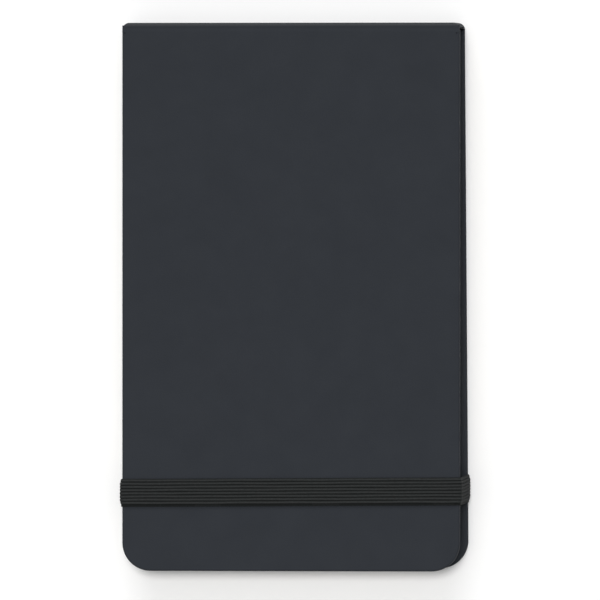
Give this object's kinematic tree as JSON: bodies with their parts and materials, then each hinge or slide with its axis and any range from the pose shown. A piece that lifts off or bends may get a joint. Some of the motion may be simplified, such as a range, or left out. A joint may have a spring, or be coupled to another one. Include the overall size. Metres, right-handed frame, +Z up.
{
  "type": "pocket notebook",
  "caption": "Small hard-cover notebook bound along its top edge, with sewn page sections, a hinged front cover and a flat woven elastic closure round its free end.",
  "frame": {"origin": "centre of the closed notebook's footprint, on the plane that its back cover lies on", "axes": "+Z up through the front cover, +Y towards the spine, X across the width"},
  "size_m": [0.0792, 0.126, 0.013],
  "materials": {
    "leatherette": "matt, very fine grain",
    "grey_board": "rough pressed board",
    "endpaper": "smooth ivory",
    "page_paper": "uncoated ivory, ruled",
    "gauze": "open weave",
    "thread": "waxed",
    "elastic": "ribbed weave"
  },
  "bodies": {
    "block": {"back_cover_skin": "leatherette", "back_board": "grey_board", "back_pastedown": "endpaper", "back_flyleaf": "endpaper", "spine_skin": "leatherette", "spine_strip": "grey_board", "spine_lining": "gauze", "sewing_thread_1": "thread", "sewing_thread_2": "thread", "sewing_thread_3": "thread", "sewing_thread_4": "thread", "section_02": "page_paper", "section_03": "page_paper", "section_04": "page_paper", "section_05": "page_paper", "section_06": "page_paper", "section_07": "page_paper", "section_08": "page_paper", "elastic_tail_left": "elastic", "elastic_tail_right": "elastic"},
    "front_cover": {"front_cover_skin": "leatherette", "front_board": "grey_board", "front_pastedown": "endpaper"},
    "front_flyleaf": {"front_flyleaf": "endpaper"},
    "section_01": {"section_01": "page_paper"},
    "elastic": {"elastic_front": "elastic", "elastic_side_left": "elastic", "elastic_side_right": "elastic"}
  },
  "joints": [
    {"name": "front_cover_hinge", "type": "hinge", "parent": "block", "child": "front_cover", "pos_m": [0, 0.0618, 0.01254], "axis": [-1, 0, 0], "range_deg": [0, 185.5]},
    {"name": "front_flyleaf_turn", "type": "hinge", "parent": "block", "child": "front_flyleaf", "pos_m": [0, 0.0618, 0.01254], "axis": [-1, 0, 0], "range_deg": [0, 178.6]},
    {"name": "section_01_turn", "type": "hinge", "parent": "block", "child": "section_01", "pos_m": [0, 0.0618, 0.01254], "axis": [-1, 0, 0], "range_deg": [0, 174.4]},
    {"name": "elastic_slip", "type": "slide", "parent": "block", "child": "elastic", "axis": [0, -1, 0], "range_m": [0, 0.026], "deforming": ["elastic_front", "elastic_side_left", "elastic_side_right"]}
  ],
  "couplings": [
    {"joint": "front_flyleaf_turn", "follows": "front_cover_hinge", "ratio": 0.9625},
    {"joint": "section_01_turn", "follows": "front_cover_hinge", "ratio": 0.94},
    {"joint": "elastic_slip", "follows": "front_cover_hinge", "m_per_rad": 0.00803}
  ]
}
